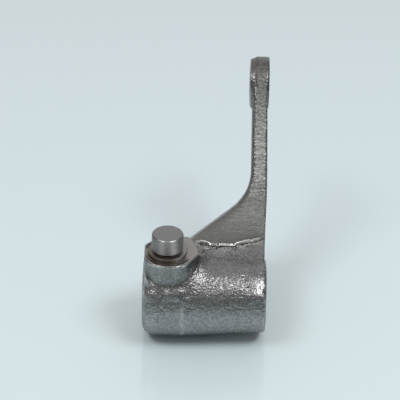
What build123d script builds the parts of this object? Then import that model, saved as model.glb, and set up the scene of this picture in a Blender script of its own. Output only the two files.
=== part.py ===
from build123d import *
import os
from math import asin, cos, degrees, radians, sin, tan

# Forged rocker arm: a lever forging that turns on a shaft, with a bronze bush in its hub and a
# shouldered pin pressed into the boss on the hub.
# X runs along the hub's bore from left to right, Y points from the hub towards the back, where
# the arm leans, and Z points up along the pin. The origin is on the bore's axis, half way along
# the hub.

# ---------------------------------------------------------------- driving dimensions (mm, degrees)
# hub
hub_length = 39.2
hub_radius = 13.4           # at the parting line, where the barrel is widest
parting_inset = 12.9        # from the left end to where the two dies met
draft_right = 3.9
draft_left = 0.4
left_crown_radius = 8.5     # the left end rolls over with a long soft radius
left_crown_length = 5.4
hub_edge_left = 0.9
hub_edge_right = 0.5

# bush and bore
shaft_bore_radius = 8.0
bush_wall = 1.25
bush_inset = 0.4            # how far the bush ends lie inside the hub's end faces
bush_chamfer = 0.5
bore_chamfer = 0.3

# roller pin
pin_inset = 7.7             # from the hub's left end to the pin's axis
pin_radius = 5.0
pin_projection = 6.15       # above the boss's milled face
pin_chamfer = 0.4
shoulder_width = 1.2        # beyond the pin's own radius
shoulder_lift = 0.1         # above the boss's milled face
shoulder_chamfer = 0.25
relief_width = 0.8
relief_depth = 0.5
pin_end_gap = 0.3           # between the pin's inner end and the bush
pin_lead = 0.6              # taper that leads the pin into its hole

# boss, its outline counted from the pin's axis
boss_height = 3.45          # from the hub's crown up to the milled face
boss_left_inset = 0.3       # from the hub's left end face
boss_front = 9.75
boss_back = 8.35
boss_nose_reach = 11.0      # the boss comes to a blunt nose on the right
boss_nose_y = -1.0
boss_front_flat_left = -4.8
boss_front_flat_right = 5.5
boss_back_flat_left = -2.4
boss_back_flat_right = 7.3
boss_left_flat_front = 4.7
boss_left_flat_back = 3.2
boss_corner = 2.2
boss_nose_radius = 3.0      # of the nose and of the corner in front of it
boss_rim_break = 0.35
spotface_radius = 7.9
spotface_depth = 0.8
spotface_shift_x = 0.6      # the cutter ran a little off the pin's axis
spotface_shift_y = -0.9

# arm, seen from the side (Y, Z)
arm_lean = 38.0             # of the arm's front edge, from the vertical
root_rise = 6.0             # slope at which the neck leaves the hub's crown
root_y = 11.0
root_drop = 0.85            # below the hub's crown
root_run = 13.0
neck_sweep = 23.1           # concave radius between the hub's crown and the arm's front edge
arm_front_length = 38.7
eye_outer_radius = 8.8
eye_hole_radius = 5.0
eye_chamfer = 0.6
back_edge_lean = 40.0       # of the arm's back edge where it leaves the eye
back_root_angle = 59.2      # where the back edge enters the hub, below the horizontal
back_root_inset = 2.45      # how deep inside the hub's skin it ends

# arm, seen along its flanks (X, and t square to their rulings)
flank_dip = 31.0            # how far the flanks' rulings dip below the horizontal
arm_overhang = 0.38         # of the right flank's crest beyond the hub's end face
arm_thickness = 5.28
foot_draft = 2.4            # brings the right flank's foot inside the hub's end face
tip_draft = 0.9             # thins the arm towards the eye
crest_t = 33.0              # where the two drafts meet
crest_radius = 200.0
flare_reach = 7.45          # from the pin's axis to a point on the flare beside the boss
flare_rise = 4.65           # of that point above the hub's skin
flare_slope = 37.5
flare_radius = 15.0
neck_reach = 0.4            # from the pin's axis to the flare's end, behind the boss
neck_taper = 8.5            # how far the left flank's foot draws in under the hub
neck_corner_radius = 6.0
arm_left_edge = 1.0
arm_right_edge = 0.6
eye_overhang = 0.4          # of the eye's right face beyond the hub's end face
eye_width = 6.25
eye_left_edge = 1.5
eye_right_edge = 0.4

# ---------------------------------------------------------------- derived sizes
half_hub = hub_length / 2
parting_x = parting_inset - half_hub
bush_outer_radius = shaft_bore_radius + bush_wall

pin_x = pin_inset - half_hub
boss_top = hub_radius + boss_height
boss_left = boss_left_inset - half_hub
pin_top = boss_top + pin_projection
pin_bottom = bush_outer_radius + pin_end_gap
shoulder_radius = pin_radius + shoulder_width
shoulder_top = boss_top + shoulder_lift
spotface_floor = boss_top - spotface_depth

arm_right = half_hub + arm_overhang
arm_left = arm_right - arm_thickness
mid_thickness = (arm_left + arm_right) / 2
eye_right = half_hub + eye_overhang
eye_left = eye_right - eye_width
flare_x = pin_x + flare_reach
flare_t = hub_radius + flare_rise
neck_left = pin_x + neck_reach
far = 4 * hub_length        # reaches past everything

flank_plane = Plane(
    (0, 0, 0),
    x_dir=(1, 0, 0),
    z_dir=(0, -cos(radians(flank_dip)), sin(radians(flank_dip))),
)
flank_ruling = Axis((0, 0, 0), flank_plane.z_dir)


def heading(angle):
    """Unit step at an angle above the horizontal, in a sketch's own axes."""
    return Vector(cos(radians(angle)), sin(radians(angle)))


def outline_edges(solid):
    """The arm's long edges, where its rim meets a flank: they run neither along X, as the rim's
    creases do, nor along the flanks' rulings."""
    return solid.edges().filter_by(Axis.X, reverse=True).filter_by(flank_ruling, reverse=True)


# ---------------------------------------------------------------- hub barrel
# Half of the barrel's section above the bore's axis, turned once round. The right half is one
# straight draft; the left half is drafted, then rolls over to the end face in a soft crown.
crown_start = -half_hub + left_crown_length
crown_start_radius = hub_radius - (parting_x - crown_start) * tan(radians(draft_left))
crown_angle = degrees(asin(left_crown_length / left_crown_radius + sin(radians(draft_left))))
right_radius = hub_radius - (half_hub - parting_x) * tan(radians(draft_right))

with BuildPart() as hub:
    with BuildSketch(Plane.XY) as barrel_section:
        with BuildLine():
            drafted = Polyline(
                (half_hub, 0),
                (half_hub, right_radius),
                (parting_x, hub_radius),
                (crown_start, crown_start_radius),
            )
            crown = JernArc(
                start=drafted @ 1,
                tangent=heading(180 + draft_left),
                radius=left_crown_radius,
                arc_size=crown_angle - draft_left,
            )
            Polyline(crown @ 1, (-half_hub, 0), (half_hub, 0))
        make_face()
        left_corner = barrel_section.vertices().sort_by_distance(crown @ 1)[0]
        chamfer(left_corner, hub_edge_left)
        right_corner = barrel_section.vertices().sort_by_distance((half_hub, right_radius))[0]
        chamfer(right_corner, hub_edge_right)
    revolve(axis=Axis.X)

# ---------------------------------------------------------------- arm and neck
# Side outline (Y, Z): from the hub's crown the front edge rises in one concave sweep to the
# straight front of the arm, goes round the eye and comes back to the hub in one bowed curve.
root = Vector(root_y, hub_radius - root_drop)
back_root = heading(-back_root_angle) * (hub_radius - back_root_inset)
rise = heading(root_rise)
climb = heading(90 - arm_lean)

# Front outline (X, t): a straight arm whose left flank flares out to the boss. The right flank
# is drafted outwards up to the arm.
flare_root_t = flare_t - (flare_x - neck_left) * tan(radians(flare_slope))
flare_end_t = flare_t + (arm_left - flare_x) * tan(radians(flare_slope))
right_foot_x = arm_right - (crest_t + hub_radius) * tan(radians(foot_draft))
right_tip_x = arm_right - (far - crest_t) * tan(radians(tip_draft))

with BuildPart() as arm:
    with BuildSketch(Plane.YZ.offset(-far)):
        with BuildLine():
            root_line = Line(root - rise * root_run, root)
            sweep_up = JernArc(
                start=root_line @ 1,
                tangent=rise,
                radius=neck_sweep,
                arc_size=90 - arm_lean - root_rise,
            )
            arm_front = Line(sweep_up @ 1, (sweep_up @ 1) + climb * arm_front_length)
            around_eye = JernArc(
                start=arm_front @ 1,
                tangent=climb,
                radius=eye_outer_radius,
                arc_size=-(180 - arm_lean + back_edge_lean),
            )
            arm_back = TangentArc(around_eye @ 1, back_root, tangent=around_eye % 1)
            Polyline(arm_back @ 1, (0, 0), root_line @ 0)
        make_face()
    extrude(amount=2 * far)

    with BuildSketch(flank_plane) as front_outline:
        with BuildLine():
            Polyline(
                (arm_left, far),
                (right_tip_x, far),
                (arm_right, crest_t),
                (right_foot_x, -hub_radius),
                (neck_left + neck_taper, -hub_radius),
                (neck_left, flare_root_t),
                (arm_left, flare_end_t),
                close=True,
            )
        make_face()
        flare_corner = front_outline.vertices().sort_by_distance((arm_left, flare_end_t))[0]
        fillet(flare_corner, flare_radius)
        neck_corner = front_outline.vertices().sort_by_distance((neck_left, flare_root_t))[0]
        fillet(neck_corner, neck_corner_radius)
        crest_corner = front_outline.vertices().sort_by_distance((arm_right, crest_t))[0]
        fillet(crest_corner, crest_radius)
    extrude(amount=far, both=True, mode=Mode.INTERSECT)

    right_edges = outline_edges(arm).filter_by(lambda e: e.center().X > mid_thickness)
    fillet(right_edges, arm_right_edge)
    # The left edges are rounded down to the neck's corner; its foot behind the hub stays square.
    foot_t = flare_root_t + neck_corner_radius / 2
    left_edges = outline_edges(arm).filter_by(lambda e: e.center().X < mid_thickness)
    left_edges = left_edges.filter_by(lambda e: flank_plane.to_local_coords(e.center()).Y > foot_t)
    fillet(left_edges, arm_left_edge)

eye_centre = around_eye.arc_center

# ---------------------------------------------------------------- boss
boss_corners = [
    (boss_left, boss_left_flat_back),
    (boss_left, -boss_left_flat_front),
    (pin_x + boss_front_flat_left, -boss_front),
    (pin_x + boss_front_flat_right, -boss_front),
    (pin_x + boss_nose_reach, boss_nose_y),
    (pin_x + boss_back_flat_right, boss_back),
    (pin_x + boss_back_flat_left, boss_back),
]

with BuildPart() as boss:
    with BuildSketch(Plane.XY) as boss_outline:
        with BuildLine():
            Polyline(boss_corners, close=True)
        make_face()
        for corner in boss_corners:
            soft = corner in boss_corners[3:5]
            vertex = boss_outline.vertices().sort_by_distance(corner)[0]
            fillet(vertex, boss_nose_radius if soft else boss_corner)
    extrude(amount=boss_top)
    chamfer(boss.edges().group_by(Axis.Z)[-1], boss_rim_break)

# ---------------------------------------------------------------- eye
with BuildPart() as eye:
    with BuildSketch(Plane.YZ.offset(eye_left)):
        with Locations((eye_centre.X, eye_centre.Y)):
            Circle(eye_outer_radius)
    extrude(amount=eye_right - eye_left)
    fillet(eye.edges().group_by(Axis.X)[0], eye_left_edge)
    chamfer(eye.edges().group_by(Axis.X)[-1], eye_right_edge)

# ---------------------------------------------------------------- lever forging
with BuildPart() as lever_forging:
    add(hub.part)
    add(arm.part)
    add(boss.part)
    add(eye.part)

    # bore for the bush, right through the hub, with its mouths eased
    with BuildSketch(Plane.YZ.offset(-half_hub)):
        Circle(bush_outer_radius)
    extrude(amount=hub_length, mode=Mode.SUBTRACT)
    bore_mouths = lever_forging.edges(Select.LAST).filter_by(GeomType.CIRCLE)
    chamfer(bore_mouths, bore_chamfer)

    # eye hole, right through, with its mouths eased
    with BuildSketch(Plane.YZ.offset(eye_left)):
        with Locations((eye_centre.X, eye_centre.Y)):
            Circle(eye_hole_radius)
    extrude(amount=eye_right - eye_left, mode=Mode.SUBTRACT)
    eye_mouths = lever_forging.edges(Select.LAST).filter_by(GeomType.CIRCLE)
    chamfer(eye_mouths, eye_chamfer)

    # spotface milled into the boss round the pin
    with BuildSketch(Plane.XY.offset(spotface_floor)):
        with Locations((pin_x + spotface_shift_x, spotface_shift_y)):
            Circle(spotface_radius)
    extrude(amount=hub_radius, mode=Mode.SUBTRACT)

    # hole for the pin, down into the bore
    with BuildSketch(Plane.XY):
        with Locations((pin_x, 0)):
            Circle(pin_radius)
    extrude(amount=hub_radius + boss_top, mode=Mode.SUBTRACT)

# ---------------------------------------------------------------- roller pin
# Half of the pin's section beside its axis: lead-in taper, fitted shank, shoulder with a relief
# groove above it, and the ground journal.
relief_top = shoulder_top + relief_width
relief_radius = pin_radius - relief_depth

with BuildPart() as roller_pin:
    with BuildSketch(Plane.XZ) as pin_section:
        with BuildLine():
            Polyline(
                (pin_x, pin_bottom),
                (pin_x + pin_radius - pin_lead, pin_bottom),
                (pin_x + pin_radius, pin_bottom + pin_lead),
                (pin_x + pin_radius, spotface_floor),
                (pin_x + shoulder_radius, spotface_floor),
                (pin_x + shoulder_radius, shoulder_top - shoulder_chamfer),
                (pin_x + shoulder_radius - shoulder_chamfer, shoulder_top),
                (pin_x + relief_radius, shoulder_top),
                (pin_x + relief_radius, relief_top),
                (pin_x + pin_radius, relief_top + relief_depth),
                (pin_x + pin_radius, pin_top - pin_chamfer),
                (pin_x + pin_radius - pin_chamfer, pin_top),
                (pin_x, pin_top),
                close=True,
            )
        make_face()
    revolve(axis=Axis((pin_x, 0, 0), (0, 0, 1)))

# ---------------------------------------------------------------- hub bush
with BuildPart() as hub_bush:
    with BuildSketch(Plane.YZ.offset(bush_inset - half_hub)):
        Circle(bush_outer_radius)
        Circle(shaft_bore_radius, mode=Mode.SUBTRACT)
    extrude(amount=hub_length - 2 * bush_inset)
    bush_mouths = hub_bush.edges().filter_by(GeomType.CIRCLE)
    bush_mouths = bush_mouths.filter_by(lambda e: e.radius < shaft_bore_radius + bush_wall / 2)
    chamfer(bush_mouths, bush_chamfer)

lever_forging.part.label = "lever_forging"
roller_pin.part.label = "roller_pin"
hub_bush.part.label = "hub_bush"

os.makedirs("parts", exist_ok=True)
export_step(lever_forging.part, "parts/lever_forging.step")
export_step(roller_pin.part, "parts/roller_pin.step")
export_step(hub_bush.part, "parts/hub_bush.step")
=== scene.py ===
import bmesh
import bpy
import numpy as np
from mathutils import Matrix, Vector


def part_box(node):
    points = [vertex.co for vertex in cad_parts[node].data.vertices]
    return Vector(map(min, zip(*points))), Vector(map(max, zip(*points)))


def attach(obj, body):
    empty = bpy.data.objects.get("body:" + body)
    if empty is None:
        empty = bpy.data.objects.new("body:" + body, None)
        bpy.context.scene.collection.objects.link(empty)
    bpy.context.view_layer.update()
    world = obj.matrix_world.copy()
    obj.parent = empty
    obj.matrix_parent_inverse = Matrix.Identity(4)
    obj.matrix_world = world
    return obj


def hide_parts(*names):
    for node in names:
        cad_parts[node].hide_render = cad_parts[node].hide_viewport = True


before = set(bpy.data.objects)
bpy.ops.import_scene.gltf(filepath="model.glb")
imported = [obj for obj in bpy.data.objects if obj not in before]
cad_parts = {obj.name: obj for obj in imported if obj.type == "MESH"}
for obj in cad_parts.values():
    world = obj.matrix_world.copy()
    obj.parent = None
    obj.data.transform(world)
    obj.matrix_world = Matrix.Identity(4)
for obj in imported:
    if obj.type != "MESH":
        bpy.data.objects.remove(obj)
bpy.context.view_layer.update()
mm = 0.001  # the dictionaries below are in millimetres and degrees

# the forging's main lines, which the skin, the flash and the burr all follow
forging = {
    "crownRadius": 13.4,  # hub, at its widest
    "draftLeft": 0.4, "draftRight": 3.9,  # from the parting line the hub tapers to both ends
    "leftEnd": -19.6,
    "rollStart": -14.2, "rollRadius": 8.5,  # near the left end it rolls over
    "boreRadius": 9.25,
    "partingX": -6.7,
    "bossTop": 16.85, "bossMiddle": -11.4,
    "spotX": -11.3, "spotY": -0.9, "spotRadius": 7.9, "spotFloor": 16.05,
    "pinX": -11.9,
    "headInner": 13.75, "headOuter": 20.0,  # the eye's two flat sides
    "headDraft": 0.92, "draftTo": 15.9,
    "rootY": 11.0, "rootZ": 12.55, "rootRise": 6.0,
    "sweepRadius": 23.1, "armLean": 38.0, "armLength": 38.7,
    "eyeRadius": 8.8,
    "flankDip": 31.0, "flareX": -4.45, "flareUp": 18.05, "flareSlope": 37.5,
}


# unit random value for every whole-number cell: its three coordinates and the seed are each
# multiplied by a large odd number, added up, and the sum's bits are mixed twice
def cellValue(cells, seed):
    c = cells.astype(np.int64)
    h = c[..., 0] * 374761393 + c[..., 1] * 668265263 + c[..., 2] * 1442695041 + seed * 974711
    h = h & 0xFFFFFFFF
    h = ((h ^ (h >> 13)) * 1274126177) & 0xFFFFFFFF
    h = ((h ^ (h >> 15)) * 2246822519) & 0xFFFFFFFF
    return ((h ^ (h >> 16)) & 0xFFFFFF) / 0xFFFFFF


# value noise between -1 and 1: eight corner values of the cell, eased and blended along each axis
def softNoise(points, size, seed):
    p = points / size
    base = np.floor(p)
    f = p - base
    f = f * f * (3 - 2 * f)
    total = np.zeros(p.shape[:-1])
    for dx in (0, 1):
        for dy in (0, 1):
            for dz in (0, 1):
                w = (f[..., 0] if dx else 1 - f[..., 0])
                w = w * (f[..., 1] if dy else 1 - f[..., 1])
                w = w * (f[..., 2] if dz else 1 - f[..., 2])
                total += w * cellValue(base + (dx, dy, dz), seed)
    return total * 2 - 1


# a few layers of value noise, each half as large and half as strong as the one before
def layeredNoise(points, size, seed, layers=3):
    total = np.zeros(points.shape[:-1])
    reach = 0.0
    for k in range(layers):
        total += softNoise(points, size / 2 ** k, seed + 17 * k) / 2 ** k
        reach += 1 / 2 ** k
    return total / reach


# pebbles: each cell holds one jittered centre, and the height falls with the distance to the nearest
def pebbles(points, size, seed):
    p = points / size
    base = np.floor(p)
    nearest = np.full(p.shape[:-1], 9.0)
    for dx in (-1, 0, 1):
        for dy in (-1, 0, 1):
            for dz in (-1, 0, 1):
                cell = base + (dx, dy, dz)
                jitter = np.stack([cellValue(cell, seed + k) for k in range(3)], -1)
                nearest = np.minimum(nearest, ((cell + jitter - p) ** 2).sum(-1))
    return 1 - np.clip(np.sqrt(nearest), 0, 1)


# smooth step from 0 at low to 1 at high; where low is the larger it falls instead
def ease(low, high, value):
    t = np.clip((value - low) / (high - low), 0, 1)
    return t * t * (3 - 2 * t)


# 1 between the two middle numbers of the span, easing to 0 at its first and at its last
def plateau(span, value):
    low, lowFull, highFull, high = span
    return ease(low, lowFull, value) * ease(high, highFull, value)


# bell curve of height 1 over an offset, as wide as width
def bell(offset, width):
    return np.exp(-(offset / width) ** 2)


# a mesh changed by a function of its bmesh
def rework(mesh, change):
    work = bmesh.new()
    work.from_mesh(mesh)
    change(work)
    work.to_mesh(mesh)
    work.free()
    mesh.update()


# side view (Y, Z) of the front of neck, arm and eye: an arc that starts at the neck's root, a
# straight up the arm and the eye's circle, which the straight touches
def drawOutline():
    g = forging
    rise, climb = np.radians(g["rootRise"]), np.radians(90 - g["armLean"])
    radius = g["sweepRadius"]
    sweepY, sweepZ = g["rootY"] - radius * np.sin(rise), g["rootZ"] + radius * np.cos(rise)
    armY, armZ = sweepY + radius * np.sin(climb), sweepZ - radius * np.cos(climb)
    eyeY = armY + g["armLength"] * np.cos(climb) + g["eyeRadius"] * np.sin(climb)
    eyeZ = armZ + g["armLength"] * np.sin(climb) - g["eyeRadius"] * np.cos(climb)
    return {"rise": rise, "climb": climb, "sweepY": sweepY, "sweepZ": sweepZ,
            "armY": armY, "armZ": armZ, "eyeY": eyeY, "eyeZ": eyeZ}


outline = drawOutline()


# where a point lies on the front of neck, arm and eye: the distance along the outline, how far it
# is under the face, and the face's direction there
def frontPlace(y, z):
    g = forging
    radius, rise, climb = g["sweepRadius"], outline["rise"], outline["climb"]
    sweepLength = radius * (climb - rise)
    sweepY, sweepZ = y - outline["sweepY"], z - outline["sweepZ"]
    armY, armZ = y - outline["armY"], z - outline["armZ"]
    eyeY, eyeZ = y - outline["eyeY"], z - outline["eyeZ"]
    turn = np.clip(np.arctan2(sweepY, -sweepZ), -0.4, climb)
    run = armY * np.cos(climb) + armZ * np.sin(climb)
    eyeTurn = np.arctan2(-eyeY, eyeZ)
    onArm = run > 0
    onEye = run > g["armLength"]
    distance = np.where(onArm, sweepLength + run, radius * (turn - rise))
    distance = np.where(onEye, sweepLength + g["armLength"] + g["eyeRadius"] * (climb - eyeTurn), distance)
    under = np.where(onArm, armY * np.sin(climb) - armZ * np.cos(climb), np.hypot(sweepY, sweepZ) - radius)
    under = np.where(onEye, g["eyeRadius"] - np.hypot(eyeY, eyeZ), under)
    angle = np.where(onEye, eyeTurn, np.where(onArm, climb, turn))
    return distance, under, -np.sin(angle), np.cos(angle)


# height of the neck's front face at each Y, on the outline's arc
def neckHeight(y):
    return outline["sweepZ"] - np.sqrt(forging["sweepRadius"] ** 2 - (y - outline["sweepY"]) ** 2)


# radius of the hub at each X: straight drafts both ways from the parting line, then at the left end
# an arc that starts along the draft
def hubRadius(x):
    g = forging
    left, right = np.radians(g["draftLeft"]), np.radians(g["draftRight"])
    toLeft = np.clip(g["partingX"] - x, 0, g["partingX"] - g["rollStart"])
    radius = g["crownRadius"] - toLeft * np.tan(left) - np.clip(x - g["partingX"], 0, None) * np.tan(right)
    along = np.clip(g["rollStart"] - x, 0, g["rollStart"] - g["leftEnd"]) + g["rollRadius"] * np.sin(left)
    return radius - g["rollRadius"] * np.cos(left) + np.sqrt(g["rollRadius"] ** 2 - along ** 2)


def newGroup(name, inputs, outputs):
    group = bpy.data.node_groups.new(name, "ShaderNodeTree")
    for label, kind, value in inputs:
        socket = group.interface.new_socket(label, in_out="INPUT", socket_type=kind)
        socket.default_value = value
    for label, kind in outputs:
        group.interface.new_socket(label, in_out="OUTPUT", socket_type=kind)
    return group, group.nodes.new("NodeGroupInput"), group.nodes.new("NodeGroupOutput")


# a shader node with its settings; each input gets a constant, a colour or a link
def newNode(tree, kind, inputs, **settings):
    node = tree.nodes.new("ShaderNode" + kind)
    for name, value in settings.items():
        setattr(node, name, value)
    for key, value in inputs.items():
        if isinstance(value, (int, float)):
            node.inputs[key].default_value = value
        elif isinstance(value, tuple):
            node.inputs[key].default_value = (*value, 1.0)
        else:
            tree.links.new(value, node.inputs[key])
    return node


def mathNode(tree, operation, a, b=0.0, clamp=False):
    return newNode(tree, "Math", {0: a, 1: b}, operation=operation, use_clamp=clamp).outputs[0]


# a + b x share
def addShare(tree, a, b, share):
    return mathNode(tree, "ADD", a, mathNode(tree, "MULTIPLY", b, share))


def rangeNode(tree, value, low, high, toLow=0.0, toHigh=1.0):
    inputs = {"Value": value, "From Min": low, "From Max": high, "To Min": toLow, "To Max": toHigh}
    return newNode(tree, "MapRange", inputs, interpolation_type="SMOOTHSTEP").outputs["Result"]


def noiseNode(tree, vector, scale, detail=2.0, rough=0.5):
    inputs = {"Vector": vector, "Scale": scale, "Detail": detail, "Roughness": rough}
    return newNode(tree, "TexNoise", inputs).outputs["Fac"]


def attributeNode(tree, name):
    return newNode(tree, "Attribute", {}, attribute_name=name).outputs["Fac"]


def mixColour(tree, factor, a, b, blend="MIX"):
    return newNode(tree, "Mix", {0: factor, 6: a, 7: b}, data_type="RGBA", blend_type=blend).outputs[2]


# sizes of texture are in cells to the metre
shotMarks = {
    "dimpleSoftness": 0.2, "dimpleShare": -0.55,
    "coarseScale": 900.0, "coarseShare": 0.9,
    "grainShare": 0.28,
    "patchScale": 240.0, "patchRange": (0.35, 0.65),
    "speckScale": 1250.0, "speckRange": (0.34, 0.68),
}


# scale-dappled skin that shot leaves on steel: round dimples on soft lumps and a fine grain
def buildShotSkin():
    look = shotMarks
    group, entry, leave = newGroup(
        "shotSkin",
        [("Dimple Scale", "NodeSocketFloat", 1100.0), ("Grain Scale", "NodeSocketFloat", 4200.0)],
        [("Height", "NodeSocketFloat"), ("Patches", "NodeSocketFloat"), ("Mottle", "NodeSocketFloat")],
    )
    place = group.nodes.new("ShaderNodeTexCoord").outputs["Object"]
    inputs = {"Vector": place, "Scale": entry.outputs["Dimple Scale"], "Smoothness": look["dimpleSoftness"]}
    dimples = newNode(group, "TexVoronoi", inputs, feature="SMOOTH_F1")
    height = mathNode(group, "MULTIPLY", dimples.outputs["Distance"], look["dimpleShare"])
    coarse = noiseNode(group, place, look["coarseScale"])
    grain = noiseNode(group, place, entry.outputs["Grain Scale"])
    height = addShare(group, height, coarse, look["coarseShare"])
    height = addShare(group, height, grain, look["grainShare"])
    patches = noiseNode(group, place, look["patchScale"], detail=3.0)
    specks = noiseNode(group, place, look["speckScale"], rough=0.6)
    group.links.new(height, leave.inputs["Height"])
    group.links.new(rangeNode(group, patches, *look["patchRange"]), leave.inputs["Patches"])
    group.links.new(rangeNode(group, specks, *look["speckRange"]), leave.inputs["Mottle"])
    return group


# tool marks that follow a distance kept with the mesh (mm), uneven in depth
def buildToolMarks():
    group, entry, leave = newGroup(
        "toolMarks",
        [("Path", "NodeSocketFloat", 0.0), ("Marks Scale", "NodeSocketFloat", 3.5)],
        [("Height", "NodeSocketFloat")],
    )
    inputs = {"W": entry.outputs["Path"], "Scale": entry.outputs["Marks Scale"], "Detail": 3.0}
    lines = newNode(group, "TexNoise", inputs, noise_dimensions="1D")
    group.links.new(lines.outputs["Fac"], leave.inputs["Height"])
    return group


def newMaterial(name, colour, roughness, metallic=1.0):
    material = bpy.data.materials.new(name)
    material.use_nodes = True
    shader = material.node_tree.nodes["Principled BSDF"]
    shader.inputs["Base Color"].default_value = (*colour, 1.0)
    shader.inputs["Roughness"].default_value = roughness
    shader.inputs["Metallic"].default_value = metallic
    return material, material.node_tree, shader


# depth in mm for a height of 1
def bump(tree, shader, height, depth):
    node = newNode(tree, "Bump", {"Strength": 1.0, "Distance": depth * mm, "Height": height})
    tree.links.new(node.outputs["Normal"], shader.inputs["Normal"])


forgedLook = {
    "colour": (0.245, 0.244, 0.243),
    "darkColour": (0.215, 0.214, 0.214),
    # painted reflection of the floor: paler colour on the hub's lower front
    "paintedReflectionColour": (0.305, 0.305, 0.307),
    "shearedColour": (0.176, 0.174, 0.171),
    "bareColour": (0.385, 0.381, 0.372),
    # painted highlight: pale colour where the lamps' glints fall on the boss's rim and the hub's ends
    "paintedHighlightColour": (0.60, 0.595, 0.59),
    "milledColour": (0.33, 0.322, 0.315),
    "tornColour": (0.58, 0.575, 0.565),
    "stainColour": (0.285, 0.243, 0.208),
    # painted shade: near-black in the burr's crack, split and the hollows between crumbs
    "gapShadeColour": (0.05, 0.048, 0.046),
    "mottle": (0.84, 1.22),  # the skin's specks, as a share of its colour
    "skinRoughness": 0.25, "patchRoughness": 0.315,
    "shearedAdds": 0.30, "tornAdds": -0.03, "paintedHighlightAdds": -0.13, "dullAdds": 0.15,  # to its roughness
    "smoothedCalm": 0.7, "paintedHighlightCalm": 0.45,  # how much of the shot skin is gone there
    "dimpleScale": 1550.0, "grainScale": 4600.0, "bumpDepth": 0.17,
    "marksScale": 3.5, "marksShare": 0.10,
}


# one steel for the whole forging: attributes kept with the mesh say where it is milled, sheared,
# torn and stained, and where a highlight, a reflection of the floor and shade are painted into its colour
def makeForgedSteel():
    look = forgedLook
    material, tree, shader = newMaterial("forgedSteel", look["colour"], look["skinRoughness"])
    scales = {"Dimple Scale": look["dimpleScale"], "Grain Scale": look["grainScale"]}
    skin = newNode(tree, "Group", scales, node_tree=shotSkin)
    path = {"Path": attributeNode(tree, "toolPath"), "Marks Scale": look["marksScale"]}
    marks = newNode(tree, "Group", path, node_tree=toolMarks)
    milled = attributeNode(tree, "milled")
    calm = milled
    for name in ("smoothed", "paintedHighlight"):
        share = mathNode(tree, "MULTIPLY", attributeNode(tree, name), look[name + "Calm"])
        calm = mathNode(tree, "MAXIMUM", calm, share)
    skinShare = mathNode(tree, "SUBTRACT", 1.0, calm, clamp=True)

    colour = mixColour(tree, skin.outputs["Patches"], look["colour"], look["darkColour"])
    # painted reflection of the floor on the hub's lower front
    colour = mixColour(tree, attributeNode(tree, "paintedReflection"), colour, look["paintedReflectionColour"])
    flash = mixColour(tree, attributeNode(tree, "bare"), look["shearedColour"], look["bareColour"])
    colour = mixColour(tree, attributeNode(tree, "sheared"), colour, flash)
    shade = rangeNode(tree, skin.outputs["Mottle"], 0.0, 1.0, *look["mottle"])
    colour = mixColour(tree, skinShare, colour, mixColour(tree, 1.0, colour, shade, "MULTIPLY"))
    # painted highlight on the rim and hub ends, and painted shade in the burr's gaps, among the real
    # colours
    for name in ("paintedHighlight", "milled", "torn", "stain", "gapShade"):
        colour = mixColour(tree, attributeNode(tree, name), colour, look[name + "Colour"])
    tree.links.new(colour, shader.inputs["Base Color"])

    patchy = (look["skinRoughness"], look["patchRoughness"])
    rough = rangeNode(tree, skin.outputs["Patches"], 0.0, 1.0, *patchy)
    for name in ("sheared", "torn", "paintedHighlight", "dull"):
        rough = addShare(tree, rough, attributeNode(tree, name), look[name + "Adds"])
    tree.links.new(rough, shader.inputs["Roughness"])

    height = mathNode(tree, "MULTIPLY", skin.outputs["Height"], skinShare)
    cut = mathNode(tree, "MULTIPLY", milled, look["marksShare"])
    cut = mathNode(tree, "MULTIPLY", marks.outputs["Height"], cut)
    bump(tree, shader, mathNode(tree, "ADD", height, cut), look["bumpDepth"])
    return material


cloudRange = (0.3, 0.7)  # where most of a noise's values lie

# top, edge, the groove's painted shade and shoulder are heights where a mask is none and where it is full
groundLook = {
    "colour": (0.47, 0.47, 0.468), "cloudColour": (0.40, 0.398, 0.395), "cloudScale": 350.0,
    "roughness": (0.46, 0.54),
    "top": (22.85, 22.95), "topColour": (0.265, 0.264, 0.266), "topAdds": 0.14,
    "edge": (22.5, 22.65), "edgeAdds": -0.24,
    # painted shade: near-black colour low on the pin, in the groove under the journal
    "grooveShade": (17.8, 17.68), "grooveShadeColour": (0.03, 0.028, 0.027),  # in the groove under the journal
    "shoulder": (17.02, 17.0), "shoulderColour": (0.32, 0.305, 0.295), "shoulderAdds": -0.06,
    "stainColour": (0.215, 0.19, 0.17), "stainX": (-10.5, -8.0),
    "anisotropy": 0.93, "quarterTurn": 0.25,
    "grindScale": 1600.0, "grindDepth": 0.004,
}


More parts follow.
